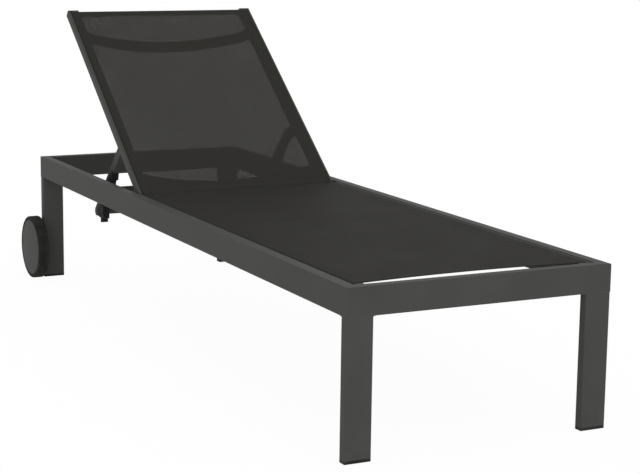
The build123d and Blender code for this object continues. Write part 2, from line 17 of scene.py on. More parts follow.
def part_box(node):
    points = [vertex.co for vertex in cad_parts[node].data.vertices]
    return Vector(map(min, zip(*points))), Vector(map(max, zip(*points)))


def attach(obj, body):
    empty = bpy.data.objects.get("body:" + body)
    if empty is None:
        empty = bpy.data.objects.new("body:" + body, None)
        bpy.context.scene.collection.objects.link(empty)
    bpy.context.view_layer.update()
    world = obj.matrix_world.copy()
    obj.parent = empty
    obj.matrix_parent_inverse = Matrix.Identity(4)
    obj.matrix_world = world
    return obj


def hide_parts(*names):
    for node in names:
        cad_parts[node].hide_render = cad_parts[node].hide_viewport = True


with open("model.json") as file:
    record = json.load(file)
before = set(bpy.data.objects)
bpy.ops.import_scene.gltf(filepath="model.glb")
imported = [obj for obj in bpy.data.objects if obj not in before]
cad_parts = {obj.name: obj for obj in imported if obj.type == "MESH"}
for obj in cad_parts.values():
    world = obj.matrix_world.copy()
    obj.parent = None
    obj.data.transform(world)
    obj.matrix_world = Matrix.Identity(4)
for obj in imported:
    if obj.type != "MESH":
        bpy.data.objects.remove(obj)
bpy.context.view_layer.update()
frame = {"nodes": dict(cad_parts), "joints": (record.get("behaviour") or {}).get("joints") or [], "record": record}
nodes = frame["nodes"]
record = frame["record"]
slot_of = {entry["node"]: entry["material_slot"] for entry in record["subparts"]}

# %% [markdown]
# ## Camera
# The camera stands in front of the foot end, a little to the left and above the seat, with a long lens.
# Its three directions are written out, because the picture leans by a fraction of a degree.

# %% Place the camera
view_right = Vector((0.443154, 0.896352, 0.012950))
view_down = Vector((0.170586, -0.070138, -0.982843))
view_ahead = Vector((-0.880066, 0.437760, -0.183987))
camera_place = Vector((3.8823, -1.7932, 1.0585))
lens_mm = 97.10
sensor_mm = 36.0

camera = bpy.data.objects.new("camera", bpy.data.cameras.new("camera"))
camera.data.lens = lens_mm
camera.data.sensor_width = sensor_mm
turn = Matrix((view_right, -view_down, -view_ahead)).transposed()
camera.matrix_world = Matrix.Translation(camera_place) @ turn.to_4x4()
bpy.context.scene.collection.objects.link(camera)
bpy.context.scene.camera = camera
print("camera at", tuple(camera_place))

# %% [markdown]
# ## Studio
# The lounger is shown on white. To the camera, and to rays that mirror it in a shiny piece, the floor and
# the sky are white; to all other light the floor is a pale matt plane. A part of that matt plane stays in
# the mix, so the lounger keeps a faint shadow. The light on the object itself is even and plain.

# %% Tell direct sight from bounced light
def plain_material(name):
    material = bpy.data.materials.new(name)
    material.use_nodes = True
    return material, material.node_tree, material.node_tree.nodes["Principled BSDF"]


def math_node(tree, operation, first, second=None, clamp=False):
    node = tree.nodes.new("ShaderNodeMath")
    node.operation = operation
    node.use_clamp = clamp
    for socket, value in zip(node.inputs, (first, second)):
        if value is None:
            continue
        if isinstance(value, (int, float)):
            socket.default_value = value
        else:
            tree.links.new(value, socket)
    return node.outputs[0]


def seen_directly(tree):
    """1 for camera, glossy and transmission rays, and 0 for light that bounces on."""
    path = tree.nodes.new("ShaderNodeLightPath")
    seen = path.outputs["Is Camera Ray"]
    for label in ("Is Glossy Ray", "Is Transmission Ray"):
        seen = math_node(tree, "MAXIMUM", seen, path.outputs[label])
    return seen


print("studio helpers ready")

# %% Floor
floor_reach = 60.0
floor_tone = 0.93
white_share = 0.96

floor_mesh = bmesh.new()
bmesh.ops.create_grid(floor_mesh, x_segments=1, y_segments=1, size=floor_reach)
floor_data = bpy.data.meshes.new("floor")
floor_mesh.to_mesh(floor_data)
floor_mesh.free()
floor = bpy.data.objects.new("floor", floor_data)
bpy.context.scene.collection.objects.link(floor)

floor_material, floor_tree, matt = plain_material("pale_floor")
matt.inputs["Base Color"].default_value = (floor_tone, floor_tone, floor_tone, 1)
matt.inputs["Roughness"].default_value = 0.9
matt.inputs["Specular IOR Level"].default_value = 0.0
white = floor_tree.nodes.new("ShaderNodeEmission")
floor_mix = floor_tree.nodes.new("ShaderNodeMixShader")
share = math_node(floor_tree, "MULTIPLY", seen_directly(floor_tree), white_share)
floor_tree.links.new(share, floor_mix.inputs[0])
floor_tree.links.new(matt.outputs[0], floor_mix.inputs[1])
floor_tree.links.new(white.outputs[0], floor_mix.inputs[2])
floor_tree.links.new(floor_mix.outputs[0], floor_tree.nodes["Material Output"].inputs["Surface"])
floor_data.materials.append(floor_material)
print("floor is white by a share of", white_share)

# %% Sky
sky_light = 0.95
world = bpy.data.worlds.new("studio")
world.use_nodes = True
bpy.context.scene.world = world
sky = world.node_tree.nodes["Background"]
sky.inputs["Color"].default_value = (1, 1, 1, 1)
sky_strength = world.node_tree.nodes.new("ShaderNodeMapRange")
sky_strength.inputs["To Min"].default_value = sky_light
sky_strength.inputs["To Max"].default_value = 1.0
world.node_tree.links.new(seen_directly(world.node_tree), sky_strength.inputs["Value"])
world.node_tree.links.new(sky_strength.outputs[0], sky.inputs["Strength"])
print("the sky lights with", sky_light)

# %% [markdown]
# ### Lamps
# A white sky alone lights every side alike, and the tubes would lose their edges. A wide, weak sun from
# the foot end lifts the fronts, and a long low lamp reaches in under the seat. A strong key light would
# do the same with fewer lamps, but it would draw hard shadows, and the studio has none.

# %% Lamps
def soft_sun(name, direction, spread, strength):
    """Even light from one side; spread is the angle that its source covers, so shadows stay soft."""
    lamp = bpy.data.lights.new(name, "SUN")
    lamp.angle = math.radians(spread)
    lamp.energy = strength
    holder = bpy.data.objects.new(name, lamp)
    holder.matrix_world = direction.to_track_quat("-Z", "Y").to_matrix().to_4x4()
    bpy.context.scene.collection.objects.link(holder)


def low_softbox(name, place, aim, width, height, power):
    """Wide lamp near the floor, which reaches in under the seat."""
    lamp = bpy.data.lights.new(name, "AREA")
    lamp.shape = "RECTANGLE"
    lamp.size = width
    lamp.size_y = height
    lamp.energy = power
    holder = bpy.data.objects.new(name, lamp)
    facing = (aim - place).to_track_quat("-Z", "Y").to_matrix().to_4x4()
    holder.matrix_world = Matrix.Translation(place) @ facing
    bpy.context.scene.collection.objects.link(holder)


soft_sun("front_light", direction=Vector((-0.8, 0.3, -0.5)), spread=70.0, strength=0.55)
low_softbox("low_light", place=Vector((5.0, -1.6, 0.3)), aim=Vector((-0.9, 0.0, 0.3)), width=4.0, height=0.5,
            power=28.0)
bpy.context.scene.view_settings.view_transform = "Standard"
print("lamps:", [item.name for item in bpy.data.lights])

# %% [markdown]
# ## Shared effects
# Several finishes need the same things: a fine grain, worn edges, dust near the floor. Each is a node
# group with named inputs, so one material can have a coarse grain and another a fine one.

# %% Helpers for node groups
def new_group(name, inputs, outputs):
    group = bpy.data.node_groups.new(name, "ShaderNodeTree")
    for label, kind, value in inputs:
        socket = group.interface.new_socket(name=label, in_out="INPUT", socket_type=kind)
        socket.default_value = value
    for label, kind in outputs:
        group.interface.new_socket(name=label, in_out="OUTPUT", socket_type=kind)
    start = group.nodes.new("NodeGroupInput")
    end = group.nodes.new("NodeGroupOutput")
    return group, start.outputs, end.inputs


def noise_node(tree, vector, scale, detail):
    node = tree.nodes.new("ShaderNodeTexNoise")
    node.inputs["Detail"].default_value = detail
    tree.links.new(vector, node.inputs["Vector"])
    if isinstance(scale, (int, float)):
        node.inputs["Scale"].default_value = scale
    else:
        tree.links.new(scale, node.inputs["Scale"])
    return node.outputs["Fac"]


def mix_colours(tree, amount, first, second, blend="MIX"):
    node = tree.nodes.new("ShaderNodeMix")
    node.data_type = "RGBA"
    node.blend_type = blend
    for socket, value in ((node.inputs[0], amount), (node.inputs[6], first), (node.inputs[7], second)):
        if isinstance(value, (int, float, tuple)):
            socket.default_value = value
        else:
            tree.links.new(value, socket)
    return node.outputs[2]


def stretch(tree, value, low, high):
    """Spread the range from low to high over 0 to 1."""
    node = tree.nodes.new("ShaderNodeMapRange")
    tree.links.new(value, node.inputs["Value"])
    node.inputs["From Min"].default_value = low
    node.inputs["From Max"].default_value = high
    return node.outputs["Result"]


print("group helpers ready")

# %% [markdown]
# ### Grain
# Powder coat sets with a fine pebbled skin, and moulded plastic is spark-textured, so both show tiny
# bumps with slow patches of lighter and darker tone. One noise makes the bumps and one the patches.

# %% Grain group
patches_per_metre = 7.0
bump_weight = 0.45
patch_weight = 0.55

grain, grain_in, grain_out = new_group(
    "grain",
    [("Dark", "NodeSocketColor", (0.05, 0.05, 0.05, 1)), ("Light", "NodeSocketColor", (0.09, 0.09, 0.09, 1)),
     ("Bumps per metre", "NodeSocketFloat", 900.0), ("Smooth", "NodeSocketFloat", 0.4),
     ("Rough", "NodeSocketFloat", 0.6)],
    [("Colour", "NodeSocketColor"), ("Roughness", "NodeSocketFloat"), ("Height", "NodeSocketFloat")])
grain_place = grain.nodes.new("ShaderNodeTexCoord").outputs["Object"]
bumps = noise_node(grain, grain_place, scale=grain_in["Bumps per metre"], detail=2.0)
patches = noise_node(grain, grain_place, scale=patches_per_metre, detail=3.0)
grain_tone = math_node(grain, "ADD", math_node(grain, "MULTIPLY", bumps, bump_weight),
                       math_node(grain, "MULTIPLY", patches, patch_weight))
lightness = stretch(grain, grain_tone, low=0.3, high=0.7)
grain.links.new(mix_colours(grain, lightness, grain_in["Dark"], grain_in["Light"]), grain_out["Colour"])
span = math_node(grain, "SUBTRACT", grain_in["Rough"], grain_in["Smooth"])
rougher = math_node(grain, "MULTIPLY", span, patches)
grain.links.new(math_node(grain, "ADD", grain_in["Smooth"], rougher), grain_out["Roughness"])
grain.links.new(bumps, grain_out["Height"])
print("grain group:", len(grain.nodes), "nodes")

# %% [markdown]
# ### Worn edges
# Handling polishes the edges of a coated tube. The Bevel node bends the normal near an edge, so the
# angle between it and the true normal is a mask of the edges; noise breaks it into short rubs.

# %% Edge wear group
rub_radius = 0.0016

edges, edges_in, edges_out = new_group(
    "edge_rub",
    [("Amount", "NodeSocketFloat", 0.5), ("Breaks per metre", "NodeSocketFloat", 40.0)],
    [("Mask", "NodeSocketFloat")])
round_normal = edges.nodes.new("ShaderNodeBevel")
round_normal.samples = 4
round_normal.inputs["Radius"].default_value = rub_radius
true_normal = edges.nodes.new("ShaderNodeNewGeometry").outputs["Normal"]
agree = edges.nodes.new("ShaderNodeVectorMath")
agree.operation = "DOT_PRODUCT"
edges.links.new(round_normal.outputs["Normal"], agree.inputs[0])
edges.links.new(true_normal, agree.inputs[1])
bend = stretch(edges, agree.outputs["Value"], low=0.98, high=0.75)
edge_place = edges.nodes.new("ShaderNodeTexCoord").outputs["Object"]
edge_noise = noise_node(edges, edge_place, scale=edges_in["Breaks per metre"], detail=3.0)
breaks = stretch(edges, edge_noise, low=0.42, high=0.68)
rubs = math_node(edges, "MULTIPLY", bend, breaks)
edges.links.new(math_node(edges, "MULTIPLY", rubs, edges_in["Amount"]), edges_out["Mask"])
print("edge group:", len(edges.nodes), "nodes")

# %% [markdown]
# ### Dust
# Feet, wheels and the lower legs pick up terrace dust. The mask fades out with height over the floor. A
# wheel carries its dust all the way round, so its reach is far above the wheel.

# %% Dust group
leg_reach = 0.12
wheel_reach = 4.0
specks_per_metre = 55.0

dust, dust_in, dust_out = new_group(
    "floor_dust",
    [("Amount", "NodeSocketFloat", 0.3), ("Reach", "NodeSocketFloat", leg_reach)],
    [("Mask", "NodeSocketFloat")])
dust_place = dust.nodes.new("ShaderNodeTexCoord").outputs["Object"]
split_place = dust.nodes.new("ShaderNodeSeparateXYZ")
dust.links.new(dust_place, split_place.inputs[0])
height_share = math_node(dust, "DIVIDE", split_place.outputs["Z"], dust_in["Reach"])
fade = math_node(dust, "SUBTRACT", 1.0, height_share, clamp=True)
dust_noise = noise_node(dust, dust_place, scale=specks_per_metre, detail=5.0)
specks = stretch(dust, dust_noise, low=0.4, high=0.75)
low_specks = math_node(dust, "MULTIPLY", fade, specks)
dust.links.new(math_node(dust, "MULTIPLY", low_specks, dust_in["Amount"]), dust_out["Mask"])
print("dust group:", len(dust.nodes), "nodes")

# %% [markdown]
# ### Weave
# The slings are a coated mesh of round yarns, over one and under one, with a square pinhole between them,
# so what lies behind shows through faintly. The cloth's own UV map is in metres, so the yarns keep their
# size and follow the sheet where it bends.

# %% Weave group
weave, weave_in, weave_out = new_group(
    "mesh_weave",
    [("Pitch", "NodeSocketFloat", 0.0017), ("Warp", "NodeSocketColor", (0.03, 0.03, 0.03, 1)),
     ("Weft", "NodeSocketColor", (0.05, 0.05, 0.05, 1)), ("Pinhole", "NodeSocketFloat", 0.3)],
    [("Colour", "NodeSocketColor"), ("Height", "NodeSocketFloat"), ("Cover", "NodeSocketFloat")])
sheet_place = weave.nodes.new("ShaderNodeUVMap")
sheet_place.uv_map = "cloth"
split_sheet = weave.nodes.new("ShaderNodeSeparateXYZ")
weave.links.new(sheet_place.outputs["UV"], split_sheet.inputs[0])


def yarn_wave(axis):
    turns = math_node(weave, "DIVIDE", split_sheet.outputs[axis], weave_in["Pitch"])
    return math_node(weave, "SINE", math_node(weave, "MULTIPLY", turns, math.pi))


warp_wave = yarn_wave("X")
weft_wave = yarn_wave("Y")
warp_round = math_node(weave, "ABSOLUTE", warp_wave)
weft_round = math_node(weave, "ABSOLUTE", weft_wave)
warp_on_top = math_node(weave, "GREATER_THAN", math_node(weave, "MULTIPLY", warp_wave, weft_wave), 0.0)
warp_below = math_node(weave, "SUBTRACT", 1.0, warp_on_top)
yarn_height = math_node(weave, "ADD", math_node(weave, "MULTIPLY", warp_on_top, warp_round),
                        math_node(weave, "MULTIPLY", warp_below, weft_round))
nearest_yarn = math_node(weave, "MAXIMUM", warp_round, weft_round)
hole_edge = math_node(weave, "SINE", math_node(weave, "MULTIPLY", weave_in["Pinhole"], math.pi / 2))
weave.links.new(mix_colours(weave, warp_on_top, weave_in["Weft"], weave_in["Warp"]), weave_out["Colour"])
weave.links.new(yarn_height, weave_out["Height"])
weave.links.new(math_node(weave, "GREATER_THAN", nearest_yarn, hole_edge), weave_out["Cover"])
print("weave group:", len(weave.nodes), "nodes")

# %% [markdown]
# ## Finishes
# The tubes are coated, the fittings are moulded or of rubber, the slings are cloth, and all of these are
# matt; only bolts, nuts and screws are bare plated steel. Each finish joins the groups to one Principled
# shader. What is the same all over a piece, such as how much it shines and whether it is metal, is set on
# the shader itself.

# %% Put the groups into materials
bump_strength = 0.5


def place_group(tree, group, **values):
    node = tree.nodes.new("ShaderNodeGroup")
    node.node_tree = group
    for label, value in values.items():
        node.inputs[label.replace("_", " ")].default_value = value
    return node


def bump_from(tree, height, distance, shader):
    bump = tree.nodes.new("ShaderNodeBump")
    bump.inputs["Distance"].default_value = distance
    bump.inputs["Strength"].default_value = bump_strength
    tree.links.new(height, bump.inputs["Height"])
    tree.links.new(bump.outputs["Normal"], shader.inputs["Normal"])


print("bump strength:", bump_strength)

# %% [markdown]
# ### Coat, mouldings, rubber and steel
# These differ in tone, in the size of their grain and in shine, and have the same build, so one function
# makes them all. A painted picture for each would need every tube unwrapped first; noise in the piece's
# own space needs no unwrapping.

# %% Grained finishes
grain_contrast = 0.14
rubbed_tone = 2.2
dust_colour = (0.12, 0.11, 0.095, 1)


def grey(level):
    return (level, level, level * 0.96, 1)


def grained_finish(name, tone, per_metre, smooth, rough, relief, shine, rub=0.0, dusty=0.0, reach=leg_reach,
                   metallic=0.0):
    """A grained surface: rub wears its edges, and dusty dirties it up to a reach over the floor."""
    material, tree, shader = plain_material(name)
    shader.inputs["Metallic"].default_value = metallic
    shader.inputs["Specular IOR Level"].default_value = shine
    skin = place_group(tree, grain, Dark=grey(tone * (1 - grain_contrast)),
                       Light=grey(tone * (1 + grain_contrast)), Bumps_per_metre=per_metre, Smooth=smooth,
                       Rough=rough)
    colour = skin.outputs["Colour"]
    if rub:
        rubbed = place_group(tree, edges, Amount=rub)
        colour = mix_colours(tree, rubbed.outputs["Mask"], colour, grey(tone * rubbed_tone))
    if dusty:
        dirt = place_group(tree, dust, Amount=dusty, Reach=reach)
        colour = mix_colours(tree, dirt.outputs["Mask"], colour, dust_colour)
    tree.links.new(colour, shader.inputs["Base Color"])
    tree.links.new(skin.outputs["Roughness"], shader.inputs["Roughness"])
    bump_from(tree, skin.outputs["Height"], relief, shader)
    return material


finishes = {
    "frame_coat": grained_finish("anthracite_coat", tone=0.052, per_metre=1100.0, smooth=0.45, rough=0.6,
                                 relief=0.00012, shine=0.05, rub=0.2, dusty=0.1),
    "black_plastic": grained_finish("black_moulding", tone=0.012, per_metre=1500.0, smooth=0.5, rough=0.65,
                                    relief=0.00008, shine=0.08, rub=0.3, dusty=0.2),
    "hub_plastic": grained_finish("hub_moulding", tone=0.014, per_metre=1500.0, smooth=0.5, rough=0.65,
                                  relief=0.00008, shine=0.15, rub=0.25, dusty=0.08, reach=wheel_reach),
    "cap_plastic": grained_finish("grey_cover", tone=0.047, per_metre=1300.0, smooth=0.45, rough=0.55,
                                  relief=0.00006, shine=0.05, rub=0.25, dusty=0.06, reach=wheel_reach),
    "tyre": grained_finish("soft_tyre", tone=0.015, per_metre=700.0, smooth=0.7, rough=0.88,
                           relief=0.00015, shine=0.06, rub=0.15, dusty=0.12, reach=wheel_reach),
    "spline": grained_finish("spline_rod", tone=0.012, per_metre=900.0, smooth=0.5, rough=0.6,
                             relief=0.00005, shine=0.2),
    "steel": grained_finish("plated_steel", tone=0.30, per_metre=600.0, smooth=0.28, rough=0.42,
                            relief=0.00003, shine=0.5, rub=0.2, dusty=0.1, metallic=1.0),
}
print("grained finishes:", sorted(finishes))

# %% [markdown]
# ### Cloth
# The hems are the same mesh, folded, so they have no pinholes and look darker, and the thread that holds
# them is a little lighter. The pinholes are cut by the shader's alpha, because real holes of this size
# would take hundreds of thousands of faces.

# %% Woven finishes
yarn_contrast = 0.15
yarn_shine = 0.02
yarn_relief = 0.0003


def warm_grey(level):
    return (level, level * 0.97, level * 0.91, 1)


def woven_finish(name, pinhole, tone):
    """Coated mesh; a pinhole is given as a share of the pitch, and none makes it a closed band."""
    material, tree, shader = plain_material(name)
    shader.inputs["Specular IOR Level"].default_value = yarn_shine
    cloth = place_group(tree, weave, Warp=warm_grey(tone * (1 - yarn_contrast)),
                        Weft=warm_grey(tone * (1 + yarn_contrast)), Pinhole=pinhole)
    skin = place_group(tree, grain, Dark=grey(0.94), Light=grey(1.0), Bumps_per_metre=500.0, Smooth=0.55,
                       Rough=0.72)
    colour = mix_colours(tree, 1.0, cloth.outputs["Colour"], skin.outputs["Colour"], blend="MULTIPLY")
    tree.links.new(colour, shader.inputs["Base Color"])
    tree.links.new(skin.outputs["Roughness"], shader.inputs["Roughness"])
    if pinhole:
        tree.links.new(cloth.outputs["Cover"], shader.inputs["Alpha"])
    bump_from(tree, cloth.outputs["Height"], yarn_relief, shader)
    return material


finishes["mesh"] = woven_finish("coated_mesh", pinhole=0.195, tone=0.0275)
hem_finish = woven_finish("folded_mesh", pinhole=0.0, tone=0.024)
thread_finish = grained_finish("polyester_thread", tone=0.045, per_metre=2500.0, smooth=0.5, rough=0.65,
                               relief=0.00005, shine=0.2)
print("cloth:", [item.name for item in (finishes["mesh"], hem_finish, thread_finish)])

# %% [markdown]
# ### Onto the solids
# The part's record gives each solid a slot, such as frame_coat or tyre, and each slot has one finish. Going
# by the record keeps like pieces alike, and no list of names has to be kept here.

# %% Dress the solids
for name, node in nodes.items():
    node.data.materials.clear()
    node.data.materials.append(finishes[slot_of[name]])
print("dressed", len(nodes), "nodes in", len(finishes), "finishes")

# %% [markdown]
# ## Where the slings lie
# Both slings run between two grooved rails. Each gets a flat working frame of its own: x along the
# sling, y across it, and z out of the face that a person lies on, with z = 0 on the face of the rails.

# %% Working frames of the seat and the backrest
joints = {joint["name"]: joint for joint in frame["joints"]}
pivot = Vector(joints["recline"]["pos_m"])
recline = math.radians(37.6)
rail_low, rail_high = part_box("seat_rail_left")
rail_depth = rail_high.z - rail_low.z

seat_frame = Matrix.Translation((0, 0, rail_high.z))
up = Vector((-math.cos(recline), 0, math.sin(recline)))
out = Vector((math.sin(recline), 0, math.cos(recline)))
back_turn = Matrix((up, Vector((0, -1, 0)), out)).transposed().to_4x4()
back_frame = Matrix.Translation(pivot + out * (rail_depth / 2)) @ back_turn


def corners_in(name, place):
    """Lowest and highest corner of a node in a working frame."""
    back = place.inverted()
    spots = [back @ vertex.co for vertex in nodes[name].data.vertices]
    low = Vector([min(spot[i] for spot in spots) for i in range(3)])
    high = Vector([max(spot[i] for spot in spots) for i in range(3)])
    return low, high


solid_cloth_thickness = 0.0014
Sheet = namedtuple("Sheet", "place start end edge hollow body")


def sheet_of(name, place, hollow, body):
    """Where a sling starts and ends, half its width at mid-cloth, and how hollow its far end is."""
    low, high = corners_in(name, place)
    return Sheet(place, low.x, high.x, high.y - solid_cloth_thickness / 2, hollow, body)


seat_sheet = sheet_of("seat_sling", seat_frame, hollow=0.018, body="frame")
back_sheet = sheet_of("back_sling", back_frame, hollow=0.0, body="backrest")
for sheet in (seat_sheet, back_sheet):
    print("sling on", sheet.body, [round(size, 4) for size in (sheet.start, sheet.end, sheet.edge)])

# %% [markdown]
# ## Slings
# A sling is one sheet, stretched flat and locked in a groove on both sides, so it only sags a little in
# the middle. A cloth simulation could find that sag, but a formula gives it at once. A grid is laid out
# flat with a tail along each side, and gets its UV map there, because cloth is cut flat. Then the tails are
# folded down into the grooves, and the inner points sink. The wall is thinner than real cloth: one looks
# through the pinholes of both its faces, and in a thick wall these would line up only in bands.

# %% Helpers for cloth
cloth_thickness = 0.0001
groove_inset = 0.008
rail_width = 0.032
cloth_sag = 0.004


def finish_mesh(bm, name, body, material):
    data = bpy.data.meshes.new(name)
    bm.to_mesh(data)
    bm.free()
    data.materials.append(material)
    piece = bpy.data.objects.new(name, data)
    bpy.context.scene.collection.objects.link(piece)
    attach(piece, body)
    return piece


def shade_smooth(piece):
    for polygon in piece.data.polygons:
        polygon.use_smooth = True


def thicken(piece, label):
    wall = piece.modifiers.new(label, "SOLIDIFY")
    wall.thickness = cloth_thickness
    wall.offset = 0.0


def map_flat(bm):
    """UV map in metres, made while the cloth lies flat."""
    cloth = bm.loops.layers.uv.new("cloth")
    for face in bm.faces:
        for loop in face.loops:
            loop[cloth].uv = (loop.vert.co.y, loop.vert.co.x)


def free_half(sheet):
    """Half the width between the rails, where the cloth hangs free."""
    return sheet.edge + groove_inset - rail_width


def sag_at(sheet, along, across):
    """Depth of the sag: none at the grooved rails and the hems, most in the middle of the sheet."""
    from_middle = min(abs(across) / free_half(sheet), 1.0)
    from_centre = abs(2 * along - sheet.start - sheet.end) / (sheet.end - sheet.start)
    return -cloth_sag * (1.0 - from_middle ** 2) * (1.0 - from_centre ** 4)


def hem_hollow(sheet, along, across):
    """How far a point is drawn back from a hollow end; only the last part of the sheet follows."""
    near_end = max((along - (sheet.start + sheet.end) / 2) / ((sheet.end - sheet.start) / 2), 0.0)
    return sheet.hollow * (1.0 - (across / sheet.edge) ** 2) * near_end ** 3


print("sag at the middle of the seat:", sag_at(seat_sheet, (seat_sheet.start + seat_sheet.end) / 2, 0.0))

# %% Weave the slings
cells_along = 72
cells_across = 48
tail_depth = 0.003
tiny = 1e-6


def sling(name, sheet):
    bm = bmesh.new()
    bmesh.ops.create_grid(bm, x_segments=cells_along, y_segments=cells_across, size=0.5)
    bmesh.ops.scale(bm, vec=(sheet.end - sheet.start, 2 * sheet.edge, 1), verts=bm.verts)
    bmesh.ops.translate(bm, vec=((sheet.start + sheet.end) / 2, 0, cloth_thickness / 2), verts=bm.verts)
    long_edges = [edge for edge in bm.edges
                  if edge.is_boundary and all(abs(abs(v.co.y) - sheet.edge) < tiny for v in edge.verts)]
    tails = bmesh.ops.extrude_edge_only(bm, edges=long_edges)["geom"]
    for item in tails:
        if isinstance(item, bmesh.types.BMVert):
            item.co.y += math.copysign(tail_depth, item.co.y)
    map_flat(bm)
    for vert in bm.verts:
        along, across = vert.co.x, vert.co.y
        vert.co.x -= hem_hollow(sheet, along, min(max(across, -sheet.edge), sheet.edge))
        if abs(across) > sheet.edge + tiny:
            vert.co.y = math.copysign(sheet.edge, across)
            vert.co.z -= tail_depth
        else:
            vert.co.z += sag_at(sheet, along, across)
    bmesh.ops.recalc_face_normals(bm, faces=bm.faces)
    if sum(face.normal.z for face in bm.faces) < 0:
        bmesh.ops.reverse_faces(bm, faces=bm.faces)
    bmesh.ops.transform(bm, matrix=sheet.place, verts=bm.verts)
    piece = finish_mesh(bm, name, sheet.body, finishes["mesh"])
    shade_smooth(piece)
    thicken(piece, "cloth")
    return piece


seat_cloth = sling("seat_cloth", seat_sheet)
back_cloth = sling("back_cloth", back_sheet)
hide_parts("seat_sling")
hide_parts("back_sling")
print("slings:", len(seat_cloth.data.polygons), "and", len(back_cloth.data.polygons), "faces")

# %% [markdown]
# ## Hems
# Each free end of a sling is folded under and sewn with a double row of stitches, which makes a band
# without pinholes. The band is a strip of the same grid, laid just under the sheet and onto the rails, so
# that no pinholes show at its ends.

# %% Fold the hems
hem_width = 0.020
hem_cells = 4
hem_on_rail = 0.004
hem_drop = cloth_thickness * 0.6


def hem(name, sheet, far):
    """Band at the far end of a sheet, which may be hollow, or at its start."""
    near = sheet.end - hem_width if far else sheet.start
    bm = bmesh.new()
    bmesh.ops.create_grid(bm, x_segments=hem_cells, y_segments=cells_across, size=0.5)
    bmesh.ops.scale(bm, vec=(hem_width, 2 * sheet.edge, 1), verts=bm.verts)
    bmesh.ops.translate(bm, vec=(near + hem_width / 2, 0, -hem_drop), verts=bm.verts)
    map_flat(bm)
    inner = free_half(sheet) + hem_on_rail
    for vert in bm.verts:
        vert.co.y *= inner / sheet.edge
        vert.co.z += sag_at(sheet, vert.co.x, vert.co.y)
        if far:
            vert.co.x -= hem_hollow(sheet, vert.co.x, vert.co.y)
    bmesh.ops.transform(bm, matrix=sheet.place, verts=bm.verts)
    piece = finish_mesh(bm, name, sheet.body, hem_finish)
    thicken(piece, "fold")
    return piece


seat_hems = [hem("seat_hem_front", seat_sheet, far=True), hem("seat_hem_rear", seat_sheet, far=False)]
back_hems = [hem("back_hem_top", back_sheet, far=True), hem("back_hem_low", back_sheet, far=False)]
print("hems:", [piece.name for piece in seat_hems + back_hems])

# %% [markdown]
# ### Stitches
# A sewn seam shows as a row of short dashes. Dashes could be drawn by the shader, but thread stands out of
# the cloth and catches light, so every stitch is a small ball, squashed to a bead, that lies on the sheet.

# %% Sew the hems
stitch_length = 0.0034
stitch_width = 0.0008
stitch_height = 0.0005
stitch_pitch = 0.0045
stitch_rows = (0.006, 0.016)


def stitches(name, sheet, far):
    inner = free_half(sheet)
    count = int(2 * inner / stitch_pitch)
    bead = Matrix.Diagonal((stitch_width, stitch_length, stitch_height, 1))
    bm = bmesh.new()
    for row in stitch_rows:
        along = sheet.end - row if far else sheet.start + row
        for i in range(count):
            across = -inner + (i + 0.5) * stitch_pitch
            height = cloth_thickness + sag_at(sheet, along, across)
            drawn_back = hem_hollow(sheet, along, across) if far else 0.0
            spot = Matrix.Translation((along - drawn_back, across, height))
            made = bmesh.ops.create_icosphere(bm, subdivisions=1, radius=0.5)["verts"]
            bmesh.ops.transform(bm, matrix=sheet.place @ spot @ bead, verts=made)
    return finish_mesh(bm, name, sheet.body, thread_finish)


seat_stitches = [stitches("seat_stitches_front", seat_sheet, far=True),
                 stitches("seat_stitches_rear", seat_sheet, far=False)]
back_stitches = [stitches("back_stitches_top", back_sheet, far=True),
                 stitches("back_stitches_low", back_sheet, far=False)]
print("stitched ends:", len(seat_stitches + back_stitches))

# %% [markdown]


# %% [markdown]
# ## Welds
# The tubes are welded before they are coated, so no joint has a sharp inner corner: a hollow fillet runs
# from one face to the other under the coat. A bent cylinder would look like a line of glue, because a
# real fillet thins out to nothing on both faces. Round a bar's end, the fillet is the bar's outline, inset
# three times, each time steeper, and shaken a little by noise.

# %% Collar round a bar's end
collar_steps = ((0.45, 0.12), (0.33, 0.30), (0.22, 0.58))
weld_lumps = 0.0004
lumps_per_metre = 400
bar_corner = 0.004
rail_corner = 0.003


def round_outline(bm, radius, throat):
    ring = bmesh.ops.create_circle(bm, cap_ends=True, segments=28, radius=radius + throat)["verts"]
    return ring[0].link_faces[0]


def flat_outline(bm, width, throat):
    """Outline of a bar that is as deep as its rail, so its weld keeps to the flat of the rail's face."""
    corners = bmesh.ops.create_grid(bm, x_segments=1, y_segments=1, size=0.5)["verts"]
    bmesh.ops.scale(bm, vec=(width + 2 * throat, rail_depth - 2 * rail_corner, 1), verts=corners)
    rounded = bmesh.ops.bevel(bm, geom=corners, affect="VERTICES", offset=bar_corner + throat, segments=5,
                              profile=0.5, material=-1)["verts"]
    return rounded[0].link_faces[0]


def weld_collar(bm, outline, throat, place):
    """Fillet from an outline on a face up to the bar that stands on it; the z of place runs up the bar."""
    older = set(bm.verts) - set(outline.verts)
    for inwards, upwards in collar_steps:
        bmesh.ops.inset_region(bm, faces=[outline], thickness=throat * inwards, depth=throat * upwards,
                               use_even_offset=True, use_boundary=True)
    bmesh.ops.delete(bm, geom=[outline], context="FACES_ONLY")
    verts = [vert for vert in bm.verts if vert not in older]
    bmesh.ops.transform(bm, matrix=place, verts=verts)
    for vert in verts:
        if not vert.is_boundary:
            vert.co += vert.normal * weld_lumps * noise.noise(vert.co * lumps_per_metre)


print("a collar has", len(collar_steps), "steps")

